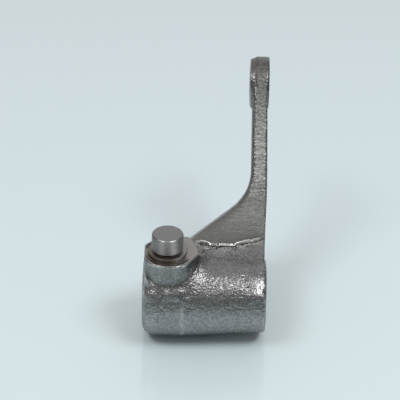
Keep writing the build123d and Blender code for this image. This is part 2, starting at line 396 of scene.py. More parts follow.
def makeGroundSteel():
    look = groundLook
    material, tree, shader = newMaterial("groundSteel", look["colour"], look["roughness"][0])
    place = tree.nodes.new("ShaderNodeTexCoord").outputs["Object"]
    axes = newNode(tree, "SeparateXYZ", {"Vector": place}).outputs
    top, edge, grooveShade, shoulder = [rangeNode(tree, axes["Z"], *[limit * mm for limit in look[name]])
                                  for name in ("top", "edge", "grooveShade", "shoulder")]
    cloud = noiseNode(tree, place, look["cloudScale"], detail=3.0)

    rough = rangeNode(tree, cloud, *cloudRange, *look["roughness"])
    for share, adds in ((shoulder, "shoulderAdds"), (edge, "edgeAdds"), (top, "topAdds")):
        rough = addShare(tree, rough, share, look[adds])
    tree.links.new(rough, shader.inputs["Roughness"])

    colour = mixColour(tree, cloud, look["colour"], look["cloudColour"])
    colour = mixColour(tree, top, colour, look["topColour"])
    # painted shade in the groove under the journal
    colour = mixColour(tree, grooveShade, colour, look["grooveShadeColour"])
    stained = rangeNode(tree, axes["X"], *[limit * mm for limit in look["stainX"]])
    ring = mixColour(tree, stained, look["stainColour"], look["shoulderColour"])
    tree.links.new(mixColour(tree, shoulder, colour, ring), shader.inputs["Base Color"])

    # ground round and round, so a light draws out along the pin
    onSide = mathNode(tree, "SUBTRACT", 1.0, mathNode(tree, "MAXIMUM", edge, shoulder), clamp=True)
    tree.links.new(mathNode(tree, "MULTIPLY", onSide, look["anisotropy"]), shader.inputs["Anisotropic"])
    shader.inputs["Anisotropic Rotation"].default_value = look["quarterTurn"]
    around = newNode(tree, "Tangent", {}, direction_type="RADIAL", axis="Z")
    tree.links.new(around.outputs["Tangent"], shader.inputs["Tangent"])
    bump(tree, shader, noiseNode(tree, place, look["grindScale"]), look["grindDepth"])
    return material


bronzeLook = {
    "colour": (0.62, 0.44, 0.22), "plainRoughness": 0.34, "roughness": (0.28, 0.42),
    "cloudScale": 400.0, "grainScale": 3000.0, "grainDepth": 0.006,
}


def makeBronze():
    look = bronzeLook
    material, tree, shader = newMaterial("bushBronze", look["colour"], look["plainRoughness"])
    place = tree.nodes.new("ShaderNodeTexCoord").outputs["Object"]
    cloud = noiseNode(tree, place, look["cloudScale"], detail=3.0)
    rough = rangeNode(tree, cloud, *cloudRange, *look["roughness"])
    tree.links.new(rough, shader.inputs["Roughness"])
    bump(tree, shader, noiseNode(tree, place, look["grainScale"]), look["grainDepth"])
    return material


shotSkin = buildShotSkin()
toolMarks = buildToolMarks()
forgedSteel = makeForgedSteel()
groundSteel = makeGroundSteel()
bushBronze = makeBronze()
print("materials made")

# where a mask has four numbers it is full between the two middle ones, and where it has two it is
# none at the first and full at the second
skinShape = {
    "voxel": 0.46,
    "fineCuts": 2,  # neck's face, flash strip and torn line: each quad cut in nine
    # dies' fillets where boss, hub and neck meet
    "hollowFrom": 0.02, "hollowSpread": 12, "hollowGain": 1.15,
    "fillRounds": 125, "fillPush": 0.6, "fillDrift": 0.08, "fillLeast": 0.0004, "normalsEvery": 20,
    "roundRounds": 24,  # how soft the boss's upright corners are
    "flareRounds": 110, "flareWidth": 4.6, "flareRight": (14.6, 11.5),  # soft outer edge of the flare
    "bossCircle": 9.75, "bossCircleY": -0.3, "circleSoft": 0.5, "circleBack": (7.5, 4.0),
    # fillet at the boss's foot: its radius in front, at the neck's side and at the left
    "frontFoot": 1.2, "sideFoot": 2.3, "leftFoot": 1.9, "toSide": (-1.0, 4.0), "toLeft": (-3.5, -6.5),
    "footCircle": 9.4, "footBack": (6.5, 3.0), "footMost": 1.5, "footSpread": 8, "footRounds": 14,
    # the spotface runs out towards the neck, outside the pin's shoulder
    "tiltRise": 0.72, "tilt": (-1.0, 5.5), "tiltTowards": (0.85, 0.53), "pinClear": (5.75, 5.95),
    # the hub falls off a little to its ends, less at the left
    "endFrom": 16.2, "endFull": 20.0, "endDrop": 0.58, "endLeft": 0.65,
    "endBand": (-1.2, -0.6, 0.7, 1.2), "endUp": (-0.1, 0.35),
    # low roll of metal on the hub's front: how high round the hub (degrees), and its size along X
    "rollUp": (20.0, 33.0, 33.0, 45.0), "rollBand": (-1.4, -0.6, 1.0, 1.8), "rollHeight": 0.42,
    "rollX": (-19.5, -18.8, -15.8, -14.8, -13.4, -12.4, -6.8, -5.0, 12.5, 15.5, 19.2, 19.9),
    "roll": (0.6, 1.3, 1.25, 0.15, 0.15, 1.25, 1.1, 0.0, 0.0, 0.75, 0.8, 0.5),
    # the head's sharp corner and drafted rim
    "cornerReach": 0.8, "rimFrom": 7.2, "rimUp": (-0.2, 0.3), "rimTowards": (0.3, 0.95),
}

# limits of the forging's areas, for the masks
area = {
    "bossX": 0.5, "bossY": 8.6,  # the boss lies left of this and in front of this
    "spotUnder": 1.1, "spotUp": 0.85,
    "sideways": 0.8,  # how squarely a flat end faces along X
    "endX": 19.3, "endReach": 13.0,
    "eyeReach": 8.2, "eyeHole": 6.0, "boreWall": 0.35,
    "armEnd": 80.0, "headZ": 36.0,
    "neckLeft": -5.5,
    "frontFacing": (0.3, 0.75),
    "neckSpan": (-5.0, -2.0, 17.0, 24.0),
    "stripFrom": 17.0, "stripTo": 24.0,  # above the neck's face the sheared strip begins
    "headFrom": 61.0,
}

# a noise is its size, its seed and sometimes its number of layers
skinRelief = {
    "pebbles": (0.92, 3), "pebbleDepth": 0.085, "pebbleEnds": (16.8, 18.4),
    "waves": (3.6, 11), "waveDepth": 0.06,
    "pits": (1.7, 91, 2), "pitLevel": 0.30, "pitDepth": 0.5, "pitFront": (-1.0, -4.0),
    "bossCalm": 0.15, "neckCalm": 0.85,
    # sheared strip
    "stripCentre": 17.3, "stripHalf": 1.62, "stripStep": 0.17, "stripLeast": 0.02, "stripGrain": 0.15,
    "stripEdge": (1.12, 0.92), "ragged": (1.3, 5), "raggedShare": 0.09,
    "grain": (0.66, 21, 2), "grainHoles": (0.8, 23), "beads": (0.8, 29), "beadWidth": 0.12,
    "rimWaves": (2.0, 27), "headRim": (6.9, 7.4),
    # drag marks and chips of the shear
    "dragAlong": 4.0, "dragAcross": 0.6, "dragBend": (4.0, 43), "drag": (1.0, 47, 3), "dragDepth": 0.22,
    "dragSpan": (1.0, 5.0, 17.0, 26.0), "dragRight": (-2.0, 14.0),
    "chips": (1.0, 53), "chipDepth": 0.22, "chipSpan": (15.0, 18.0, 19.2, 20.5), "chipRight": (14.0, 17.0),
    "edgeFrom": 19.3, "edgeWidth": 0.7, "edgeDrop": 0.55, "edgeSpan": (4.0, 8.0, 62.0, 66.0),
    # flash line where the dies met
    "partingHeight": 0.15, "partingWidth": 0.6, "partingGroove": 1.3,
    "partingBend": (3.0, 31), "partingBreaks": (1.6, 37), "partingSpan": (-0.97, -0.85, 0.25, 0.42),
    # rubbed rims and the spotface's stain
    # painted highlight on the boss's rim and the hub's ends, painted reflection of the floor on the hub's
    # lower front, and the spotface's stain
    "rimInset": 0.15, "rimWidth": 0.38, "rimUnder": 0.55, "rimBack": 5.0,
    "endsFrom": (15.0, 17.4), "endsBand": 1.1, "endsUp": (0.45, 0.6, 0.82, 0.92),
    "paintedHighlightLeft": 0.6, "paintedHighlightRight": 0.25,
    "paintedReflectionUp": (0.95, 0.5), "paintedReflectionOffHub": 0.3,
    "stain": (3.0, 41), "stainLeft": (-4.0, -13.0),
}

# torn line across the neck's foot, as a listed broken line (X, Y), and its section
burr = {
    "lineX": (-4.2, -2.0, -0.4, 1.1, 2.6, 4.1, 6.5, 9.2, 11.0, 13.7, 15.6, 17.35, 18.2, 19.2),
    "lineY": (12.6, 11.8, 11.5, 10.8, 10.65, 10.4, 10.55, 10.45, 11.4, 12.3, 12.8, 13.3, 14.1, 15.6),
    # the lip stands in strokes: its size along X
    "strokeX": (-4.2, -2.0, -1.5, 1.2, 1.9, 4.0, 4.6, 8.6, 9.2, 9.9, 14.3, 14.9, 15.5, 17.4, 18.4),
    "stroke": (0.1, 0.5, 1.2, 1.15, 0.45, 0.4, 0.75, 0.8, 0.3, 1.15, 1.1, 0.6, 1.2, 1.2, 0.2),
    "ends": (-4.0, -2.6, 18.2, 19.4),
    "wander": 0.16, "wanderNoise": (1.3, 61, 3), "strengthNoise": (2.6, 67, 2),
    "lip": 0.62, "lipRun": 0.9, "lipFront": 0.68,
    "crack": 0.70, "crackWidth": 0.5,
    "rubble": 0.50, "rubbleWidth": 6.6, "rubbleEdge": (2.4, 73),
    "crumbs": (1.15, 79), "crumbNoise": (0.9, 83, 2), "crumbRight": (18.0, 10.0),
    "split": 0.6, "splitX": 4.1, "splitLean": 0.2, "splitWidth": 0.2, "splitSpan": (-2.8, -2.1, -0.2, 0.1),
    "flakeX": 0.4, "flakeWidth": 1.7,
}


# an even, finer mesh of a node's solid
def fineCopy(nodeName, voxel):
    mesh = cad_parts[nodeName].data.copy()
    rework(mesh, lambda work: bmesh.ops.remove_doubles(work, verts=work.verts, dist=1e-6))
    helper = bpy.data.objects.new("helper", mesh)
    bpy.context.scene.collection.objects.link(helper)
    remesh = helper.modifiers.new("even", "REMESH")
    remesh.mode = "VOXEL"
    remesh.voxel_size = voxel * mm
    ready = helper.evaluated_get(bpy.context.evaluated_depsgraph_get())
    even = bpy.data.meshes.new_from_object(ready)
    bpy.data.objects.remove(helper)
    bpy.data.meshes.remove(mesh)
    return even


def meshArray(items, key, width, kind=np.float32):
    values = np.empty(len(items) * width, dtype=kind)
    items.foreach_get(key, values)
    return values.reshape(-1, width)


def meshPoints(mesh):
    return meshArray(mesh.vertices, "co", 3).astype(np.float64) / mm


def meshNormals(mesh):
    return meshArray(mesh.vertex_normals, "vector", 3).astype(np.float64)


# both ends of every edge, and how many neighbours each vertex has
def meshEdges(mesh):
    edges = meshArray(mesh.edges, "vertices", 2, np.int32)
    count = np.maximum(np.bincount(edges.ravel(), minlength=len(mesh.vertices)), 1).astype(float)
    return edges, count


def setPoints(mesh, points):
    mesh.vertices.foreach_set("co", (points * mm).astype(np.float32).ravel())
    mesh.update()


# mean of each vertex's neighbours, by adding both ends of every edge
def neighbourMean(values, edges, count):
    columns = values.reshape(len(values), -1)
    total = np.zeros_like(columns)
    for k in range(columns.shape[1]):
        total[:, k] = np.bincount(edges[:, 0], columns[edges[:, 1], k], len(values))
        total[:, k] += np.bincount(edges[:, 1], columns[edges[:, 0], k], len(values))
    return (total / count[:, None]).reshape(values.shape)


# every edge whose two ends are wanted is cut, so their quads become a finer grid
def refine(mesh, wanted, cuts):
    def cut(work):
        chosen = [edge for edge in work.edges if edge.select]
        bmesh.ops.subdivide_edges(work, edges=chosen, cuts=cuts, use_grid_fill=True)

    mesh.edges.foreach_set("select", wanted[meshEdges(mesh)[0]].all(1))
    rework(mesh, cut)


# dies' fillets: points move outwards by their share of the way to the mean of their neighbours, and
# only a little any other way, so a hollow corner fills up and a standing edge stays
def fillHollows(mesh, share):
    look = skinShape
    points = meshPoints(mesh)
    edges, count = meshEdges(mesh)
    for k in range(look["fillRounds"]):
        if k % look["normalsEvery"] == 0:
            setPoints(mesh, points)
            normals = meshNormals(mesh)
        pull = neighbourMean(points, edges, count) - points
        outward = np.clip((pull * normals).sum(1) - look["fillLeast"], 0, None)
        filled = normals * (look["fillPush"] * share * outward)[:, None]
        points = points + filled + look["fillDrift"] * share[:, None] * pull
    setPoints(mesh, points)


# hollows are where the neighbours' mean lies outside the surface; the share spreads from there
def findHollows(mesh):
    g, look = forging, skinShape
    points, normals = meshPoints(mesh), meshNormals(mesh)
    edges, count = meshEdges(mesh)
    x, y, z = points.T
    outside = ((neighbourMean(points, edges, count) - points) * normals).sum(1)
    onForging = (np.hypot(y, z) > g["boreRadius"] + 0.65) & (frontPlace(y, z)[0] < 14) & (np.abs(x) < 19)
    onForging = onForging & ((z < g["bossTop"] - 1.5) | (y > 7))
    share = (outside > look["hollowFrom"]) * onForging.astype(float)
    for _ in range(look["hollowSpread"]):
        share = np.maximum(share, neighbourMean(share, edges, count) * look["hollowGain"])
        share = np.clip(share, 0, 1) * onForging
    return share


# points move half of their share of the way to the mean of their neighbours, round after round
def softenEdges(mesh, share, rounds):
    points = meshPoints(mesh)
    edges, count = meshEdges(mesh)
    for _ in range(rounds):
        points = points + (neighbourMean(points, edges, count) - points) * (0.5 * share)[:, None]
    setPoints(mesh, points)


# points go out along the hub's radius
def pushOut(points, fromBore, out):
    points[:, 1:] += out[:, None] * points[:, 1:] / fromBore[:, None]


# offsets from the axis of the circle that the boss keeps inside, and their length
def fromBossAxis(x, y):
    awayX, awayY = x - forging["bossMiddle"], y - skinShape["bossCircleY"]
    return awayX, awayY, np.hypot(awayX, awayY)


# upright corners of the boss are softened, then, seen from above, the boss keeps inside a circle,
# by a pull that is the mean of how far a point is over and its smooth absolute value
def roundBoss(mesh):
    g, look = forging, skinShape
    x, y, z = meshPoints(mesh).T
    top = g["bossTop"]
    wall = (x < 1) * (y < area["bossY"]) * (np.hypot(y, z) > 13)
    wall = wall * plateau((5, 8.5, top - 2.4, top - 0.6), z)
    softenEdges(mesh, wall, look["roundRounds"])

    points = meshPoints(mesh)
    x, y, z = points.T
    awayX, awayY, reach = fromBossAxis(x, y)
    over = reach - look["bossCircle"]
    pull = 0.5 * (over + np.sqrt(over ** 2 + look["circleSoft"] ** 2))
    pull = pull * ease(0.0, 0.8, np.hypot(y, z) - g["crownRadius"]) * (x < 3) * (z > 6)
    pull = pull * ease(*look["circleBack"], y) / reach
    points[:, 0] -= pull * awayX
    points[:, 1] -= pull * awayY
    setPoints(mesh, points)


# fillet at the boss's foot, an arc that touches wall and crown: a point of either goes out along
# both normals by the amount that brings it onto the arc
def filletFoot(mesh):
    g, look = forging, skinShape
    points = meshPoints(mesh)
    x, y, z = points.T
    awayX, awayY, reach = fromBossAxis(x, y)
    fromBore = np.maximum(np.hypot(y, z), 0.1)
    radius = look["frontFoot"] + (look["sideFoot"] - look["frontFoot"]) * ease(*look["toSide"], awayX)
    radius = radius + (look["leftFoot"] - look["frontFoot"]) * ease(*look["toLeft"], awayX)
    radius = radius * ease(*look["footBack"], y)
    fromWall, fromCrown = reach - look["footCircle"], fromBore - g["crownRadius"]
    a, b = radius - fromWall, radius - fromCrown
    inCorner = (a > 0) & (b > 0) & (a * a + b * b > radius ** 2) & (fromWall > -0.7) & (fromCrown > -0.6)
    inCorner = inCorner & (z > 5) & (x < 6)
    out = 0.5 * (a + b - np.sqrt(np.clip(2 * radius ** 2 - (a - b) ** 2, 0, None)))
    out = np.where(inCorner, np.clip(out, 0, look["footMost"]), 0)
    out = out * ease(3.6, 2.4, fromCrown) * ease(19.4, 18.2, np.abs(x))
    edges, count = meshEdges(mesh)
    for _ in range(look["footSpread"]):
        out = neighbourMean(out, edges, count)
    points[:, 0] += out * awayX / reach
    points[:, 1] += out * (awayY / reach + y / fromBore)
    points[:, 2] += out * z / fromBore
    setPoints(mesh, points)
    foot = plateau((-0.2, 0.8, 4.5, 6.0), fromWall) * ease(3.0, 2.0, np.abs(fromCrown)) * (y < 6)
    foot = foot * ease(6, 4, x) * ease(5, 8, z) * ease(-4.0, -1.0, awayX)
    softenEdges(mesh, foot, look["footRounds"])


# the spotface was cut a little aslant: its floor climbs towards the neck, and its wall with it by
# the share that is left to the boss's top
def tiltSpotface(mesh):
    g, look = forging, skinShape
    points = meshPoints(mesh)
    x, y, z = points.T
    alongX, alongY = look["tiltTowards"]
    toNeck = alongX * (x - g["spotX"]) + alongY * (y - g["spotY"])
    rise = look["tiltRise"] * ease(*look["tilt"], toNeck)
    rise = rise * ease(*look["pinClear"], np.hypot(x - g["pinX"], y))
    low, high = g["spotFloor"], g["bossTop"]
    inSpot = (z > low - 0.15) & (np.hypot(x - g["spotX"], y - g["spotY"]) < g["spotRadius"] + 0.4)
    points[:, 2] = z + rise * np.clip((high - z) / (high - low), 0, 1) * inSpot
    setPoints(mesh, points)


# towards the hub's ends its upper front falls off as a square law
def easeEnds(mesh):
    look = skinShape
    points = meshPoints(mesh)
    x, y, z = points.T
    fromBore = np.maximum(np.hypot(y, z), 0.1)
    past = np.clip(np.abs(x) - look["endFrom"], 0, None) / (look["endFull"] - look["endFrom"])
    share = plateau(look["endBand"], fromBore - hubRadius(x)) * ease(*look["endUp"], z / fromBore) * (y < 6)
    drop = look["endDrop"] * past ** 2 * share * np.where(x < 0, look["endLeft"], 1.0)
    pushOut(points, fromBore, -drop)
    setPoints(mesh, points)


# under the boss's foot and at the right end the steel flowed into a low roll: its height eases up
# to the crest from above and from below
def rollFront(mesh):
    look = skinShape
    points = meshPoints(mesh)
    x, y, z = points.T
    fromBore = np.maximum(np.hypot(y, z), 0.1)
    swell = plateau(look["rollUp"], np.degrees(np.arctan2(z, -y)))
    onCrown = plateau(look["rollBand"], fromBore - hubRadius(x))
    out = look["rollHeight"] * np.interp(x, look["rollX"], look["roll"]) * swell * onCrown
    pushOut(points, fromBore, out)
    setPoints(mesh, points)


# the flare's outer edge is softened, near the slanting line that it follows
def softenFlare(mesh):
    g, look = forging, skinShape
    x, y, z = meshPoints(mesh).T
    dip = np.radians(g["flankDip"])
    flareTop = g["flareUp"] + (x - g["flareX"]) * np.tan(np.radians(g["flareSlope"]))
    fromLine = np.abs(z * np.cos(dip) + y * np.sin(dip) - flareTop)
    nearFlare = ease(look["flareWidth"], 1.0, fromLine) * ease(*look["flareRight"], x)
    softenEdges(mesh, nearFlare * (y > 8.8) * (z > 11), look["flareRounds"])


# the head's rim: square to the outer side, and drawn down to the inner side by the dies' draft
def squareHead(mesh):
    g, look = forging, skinShape
    points = meshPoints(mesh)
    x, y, z = points.T
    awayY, awayZ = y - outline["eyeY"], z - outline["eyeZ"]
    fromEye = np.hypot(awayY, awayZ)
    fromSide, fromRim = g["headOuter"] - x, g["eyeRadius"] - fromEye
    near, far = np.minimum(fromSide, fromRim), np.maximum(fromSide, fromRim)
    inset = np.where((near > 0) & (far < look["cornerReach"]) & (z > area["headZ"]), near, 0)
    drawn = np.clip((g["draftTo"] - x) / (g["draftTo"] - g["headInner"]), 0, 1)
    drawn = g["eyeRadius"] - g["headDraft"] * drawn
    onDraft = (x < g["draftTo"]) & (x > g["headInner"] + 0.02) & (fromEye > look["rimFrom"])
    alongY, alongZ = look["rimTowards"]
    upRim = ease(*look["rimUp"], (awayY * alongY + awayZ * alongZ) / np.maximum(fromEye, 0.1))
    shift = inset + np.where(onDraft & (z > area["headZ"]), (drawn - fromEye) * upRim, 0)
    points[:, 0] += inset
    points[:, 1] += shift * awayY / fromEye
    points[:, 2] += shift * awayZ / fromEye
    setPoints(mesh, points)


# torn edge as a relief over the neck: above the line a lip that stands up towards it, at the line a
# crack, and below it broken crumbs that thin out. q is the distance up the neck from the line
def burrRelief(x, distance, points):
    look = burr
    lineY = np.array(look["lineY"])
    lineFrom = frontPlace(lineY, neckHeight(lineY))[0]
    along = np.stack([x, x * 0, x * 0], -1)
    wander = look["wander"] * layeredNoise(along, *look["wanderNoise"])
    q = distance - (np.interp(x, look["lineX"], lineFrom) + wander)
    below = q + look["lipFront"]
    ends = plateau(look["ends"], x)
    strength = np.clip(0.95 + 0.55 * layeredNoise(along, *look["strengthNoise"]), 0.45, 1.25)
    stroke = np.interp(x, look["strokeX"], look["stroke"]) * (0.75 + 0.35 * strength)
    ramp = np.clip(below / look["lipFront"], 0, 1)
    lip = look["lip"] * stroke * np.exp(-np.clip(q, 0, None) / look["lipRun"]) * ramp
    crack = look["crack"] * strength * plateau((-look["crackWidth"], -0.2, -0.12, 0.04), below)
    zone = ease(-look["rubbleWidth"], -0.8, q + 1.2 * softNoise(points, *look["rubbleEdge"]))
    zone = zone * ease(0.0, -0.3, below)
    crumbs = pebbles(points, *look["crumbs"]) * 1.5 - 0.62 + 0.8 * layeredNoise(points, *look["crumbNoise"])
    crumbs = crumbs * look["rubble"] * (0.8 + 0.7 * bell(x - look["flakeX"], look["flakeWidth"])) * zone
    crumbs = crumbs * (0.5 + 0.5 * ease(*look["crumbRight"], x))
    split = bell(x - look["splitX"] - look["splitLean"] * q, look["splitWidth"])
    split = look["split"] * split * plateau(look["splitSpan"], q)
    onLip = plateau((-look["lipFront"], 0.1 - look["lipFront"], 0.05, 0.35), q)
    torn = np.clip(zone * (0.28 + 1.1 * crumbs / look["rubble"]) + onLip * (0.1 + 0.9 * stroke), 0, 1)
    # painted shade: share of near-black colour in the crack, the split and the hollows between crumbs
    gapShade = strength * plateau((-look["crackWidth"], -0.3, -0.1, 0.0), below) + split
    gapShade = np.clip(np.maximum(gapShade, 0.6 * zone * ease(0.0, -0.25, crumbs)) * ends, 0, 1)
    return (lip - crack + crumbs - split) * ends, torn * ends, gapShade


# finer grid on the front of neck and arm, where the flash was sheared and torn
def refineFront(mesh):
    points, normals = meshPoints(mesh), meshNormals(mesh)
    x, y, z = points.T
    distance, under, outY, outZ = frontPlace(y, z)
    facing = normals[:, 1] * outY + normals[:, 2] * outZ
    rightward = x > area["neckLeft"]
    onFront = (np.abs(under) < 1.2) & (facing > area["frontFacing"][0]) & rightward
    onNeck = onFront & (distance > 0) & (distance < area["stripTo"] + 1)
    atFoot = (y > 5.4) & (y < 11.6) & (z > 9) & (z < 14) & (normals[:, 2] > 0.4) & rightward
    onStrip = onFront & (x > 14.9) & (distance < area["armEnd"])
    refine(mesh, onNeck | atFoot | onStrip, skinShape["fineCuts"])


# everything is a depth below the solid's own surface, taken along the normals
def makeLeverSkin():
    g, look = forging, skinRelief
    mesh = fineCopy("lever_forging", skinShape["voxel"])
    print("lever skin:", len(mesh.vertices), "vertices")
    fillHollows(mesh, findHollows(mesh))
    for change in (roundBoss, filletFoot, tiltSpotface, easeEnds, rollFront, softenFlare, squareHead,
                   refineFront):
        change(mesh)
    print("lever skin, finer at the neck:", len(mesh.vertices), "vertices,",
          sum(len(face.vertices) - 2 for face in mesh.polygons), "triangles")

    points, normals = meshPoints(mesh), meshNormals(mesh)
    x, y, z = points.T
    fromBore = np.hypot(y, z)
    fromSpot = np.hypot(x - g["spotX"], y - g["spotY"])
    fromEye = np.hypot(y - outline["eyeY"], z - outline["eyeZ"])
    distance, under, outY, outZ = frontPlace(y, z)
    facing = normals[:, 1] * outY + normals[:, 2] * outZ

    # milled faces, and the radius that each one's tool marks follow
    onBoss = (x < area["bossX"]) & (y < area["bossY"])
    spotFace = onBoss & (z > g["bossTop"] - area["spotUnder"]) & (normals[:, 2] > area["spotUp"])
    flatEnd = np.abs(normals[:, 0]) > area["sideways"]
    endFace = flatEnd & (np.abs(x) > area["endX"]) & (fromBore < area["endReach"])
    eyeFace = flatEnd & (fromEye < area["eyeReach"])
    bore = (fromBore < g["boreRadius"] + area["boreWall"]) | (fromEye < area["eyeHole"])
    milled = (spotFace | endFace | eyeFace | bore).astype(float)
    toolPath = np.where(spotFace, fromSpot, np.where(eyeFace, fromEye, fromBore))
    toolPath = np.where(bore, np.abs(x), toolPath)

    # pebbled, wavy and pitted skin, calmer where the dies or the shear left it smooth
    onFront = ease(*area["frontFacing"], facing) * (np.abs(under) < 1.3)
    neckFace = onFront * plateau(area["neckSpan"], distance)
    stripShare = onFront * ease(area["stripFrom"], area["stripTo"], distance)
    stripShare = stripShare * (distance < area["armEnd"]) * (x > 12)
    bossWall = onBoss & (z > 9) & (np.abs(normals[:, 2]) < 0.5)
    smoothed = np.maximum(look["bossCalm"] * bossWall, look["neckCalm"] * neckFace * (x < 19))
    nearEnd = ease(*look["pebbleEnds"], np.abs(x)) * (y < 0)
    depth = look["pebbleDepth"] * (1 - pebbles(points, *look["pebbles"]))
    depth = depth * (1 - smoothed) * (1 - 0.5 * nearEnd)
    depth = depth + look["waveDepth"] * 0.5 * (1 - layeredNoise(points, *look["waves"]))
    pits = np.clip(layeredNoise(points, *look["pits"]) - look["pitLevel"], 0, 1)
    pits = pits * (fromBore < g["crownRadius"] + 0.8) * ease(*look["pitFront"], y)
    depth = (depth + look["pitDepth"] * pits) * (1 - milled)

    # sheared flash: a granular strip with ragged sides, and the rim beside it lies lower
    across = (x - look["stripCentre"]) / look["stripHalf"]
    sides = np.stack([distance, np.sign(across) * 9, distance * 0], -1)
    ragged = look["raggedShare"] * layeredNoise(sides, *look["ragged"])
    inStrip = ease(*look["stripEdge"], np.abs(across) + ragged)
    grain = np.clip(0.55 + 0.8 * layeredNoise(points, *look["grain"]), 0, 1.4)
    grain = grain + 0.9 * np.clip(0.35 - pebbles(points, *look["grainHoles"]), 0, 1)
    grain = grain * look["stripGrain"]
    beads = bell(np.abs(across) - 0.9, look["beadWidth"]) * pebbles(points, *look["beads"])
    stripDepth = look["stripLeast"] + grain * (1 - 0.6 * beads)
    rimDepth = np.maximum(0.35 * depth, look["stripStep"] + 0.02 * softNoise(points, *look["rimWaves"]))
    onHead = ease(*look["headRim"], fromEye) * ease(area["headFrom"] - 4, area["headFrom"], distance)
    onHead = onHead * (z > area["headZ"]) * (1 - milled)
    depth = depth + 0.6 * grain * onHead * (1 - stripShare * inStrip)
    depth = depth * (1 - stripShare) + stripShare * (inStrip * stripDepth + (1 - inStrip) * rimDepth)

    # drag marks of the shear run across the neck and deepen towards its chipped right edge
    bent = distance + 0.35 * softNoise(points, *look["dragBend"])
    dragged = np.stack([x / look["dragAlong"], bent / look["dragAcross"], x * 0], -1)
    drag = look["dragDepth"] * 0.5 * (1 + layeredNoise(dragged, *look["drag"]))
    chips = np.clip(pebbles(points, *look["chips"]) - 0.35, 0, 1) * plateau(look["chipSpan"], x)
    chips = look["chipDepth"] * (0.65 - chips) * ease(*look["chipRight"], x)
    dragShare = plateau(look["dragSpan"], distance) * (0.25 + 0.75 * ease(*look["dragRight"], x))
    depth = depth + onFront * dragShare * (drag + chips)
    pastEdge = np.clip((x - look["edgeFrom"]) / look["edgeWidth"], 0, 1) ** 1.5
    depth = depth + look["edgeDrop"] * pastEdge * onFront * plateau(look["edgeSpan"], distance)

    upNeck = np.where((y < g["rootY"]) & (z < 20), y - g["rootY"], distance)
    onLowNeck = ease(0.3, 0.6, normals[:, 2]) * (y > 4.5) * (z > 9) * (z < 22) * (upNeck < 12) * (x > -6)
    relief, torn, gapShade = [values * onLowNeck for values in burrRelief(x, upNeck, points)]
    depth = depth - relief

    # thin flash line where the dies met, in a shallow groove round the lower front of the hub
    lowFront = plateau(look["partingSpan"], z / fromBore) * (y < 0)
    bend = 0.3 * softNoise(points, *look["partingBend"])
    parting = bell(x - g["partingX"] - bend, look["partingWidth"]) * lowFront
    parting = parting * np.clip(0.75 + 0.9 * softNoise(points, *look["partingBreaks"]), 0, 1)
    groove = bell(x - g["partingX"], look["partingGroove"]) * lowFront
    depth = depth + look["partingHeight"] * (groove - parting)

    low, high = [np.array(corner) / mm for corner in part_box("lever_forging")]
    setPoints(mesh, np.clip(points - normals * depth[:, None], low, high))
    mesh.shade_smooth()

    # how roughly sheared the steel is, and how bare of scale: bright up the arm, dull on the neck,
    # dark round the eye
    sheared = np.maximum(stripShare * inStrip, 0.9 * neckFace * (upNeck > 0.3))
    sheared = np.maximum(np.maximum(sheared, onHead), 0.5 * parting)
    upStrip = plateau((area["stripFrom"] - 1, area["stripFrom"] + 5, 34, 57), distance)
    bare = 0.22 + 0.78 * upStrip - 0.12 * ease(52, 62, distance) + 0.60 * ease(63, 68, distance)
    flank = ease(0.6, 0.9, np.abs(normals[:, 0])) * ease(16, 22, z) * ease(7.0, 9.0, fromEye)

    # painted highlight: the boss's rim, and the hub's crown at its two ends in the band that faces the
    # lamps, are paled, smoother and less pebbled where the glints fall
    rim = bell(fromBossAxis(x, y)[2] - skinShape["bossCircle"] + look["rimInset"], look["rimWidth"])
    rim = rim * (z > g["bossTop"] - look["rimUnder"]) * (y < look["rimBack"])
    ends = ease(*look["endsFrom"], np.abs(x)) * (np.abs(fromBore - hubRadius(x)) < look["endsBand"])
    ends = ends * plateau(look["endsUp"], z / fromBore) * (y < 0)
    paintedHighlight = rim + ends * np.where(x < 0, look["paintedHighlightLeft"], look["paintedHighlightRight"])
    # painted reflection of the floor: paler towards the hub's lower front, which faces the floor, and a
    # little paler on the other front parts
    onHub = (fromBore < g["crownRadius"] + 1.1) & (x < 20.5)
    paintedReflection = np.where(onHub, ease(*look["paintedReflectionUp"], np.arctan2(z, -y)), look["paintedReflectionOffHub"]) * (y < 6)
    stain = ease(g["spotRadius"] + 0.2, g["spotRadius"] - 1.0, fromSpot) * spotFace
    stain = stain * ease(-0.7, 0.5, layeredNoise(points, *look["stain"]))
    shares = {
        # the flash line is paled through torn: partly its fresh-cut metal, partly a painted highlight along
        # its ridge
        "milled": milled, "sheared": np.clip(sheared, 0, 1), "torn": np.maximum(torn, 0.85 * parting),
        "gapShade": gapShade, "paintedReflection": paintedReflection, "dull": np.maximum(onHead, 2.0 * flank * (1 - milled)),
        "bare": np.clip(bare, 0, 1), "stain": stain * (0.35 + 0.65 * ease(*look["stainLeft"], x)),
        "smoothed": np.clip(smoothed, 0, 1), "paintedHighlight": np.clip(paintedHighlight, 0, 1), "toolPath": toolPath,
    }
    for name, values in shares.items():
        layer = mesh.attributes.new(name, "FLOAT", "POINT")
        layer.data.foreach_set("value", values.astype(np.float32))
    skin = bpy.data.objects.new("leverSkin", mesh)
    bpy.context.scene.collection.objects.link(skin)
    mesh.materials.clear()
    mesh.materials.append(forgedSteel)
    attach(skin, "root")
    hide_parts("lever_forging")


makeLeverSkin()
print("lever skin made")


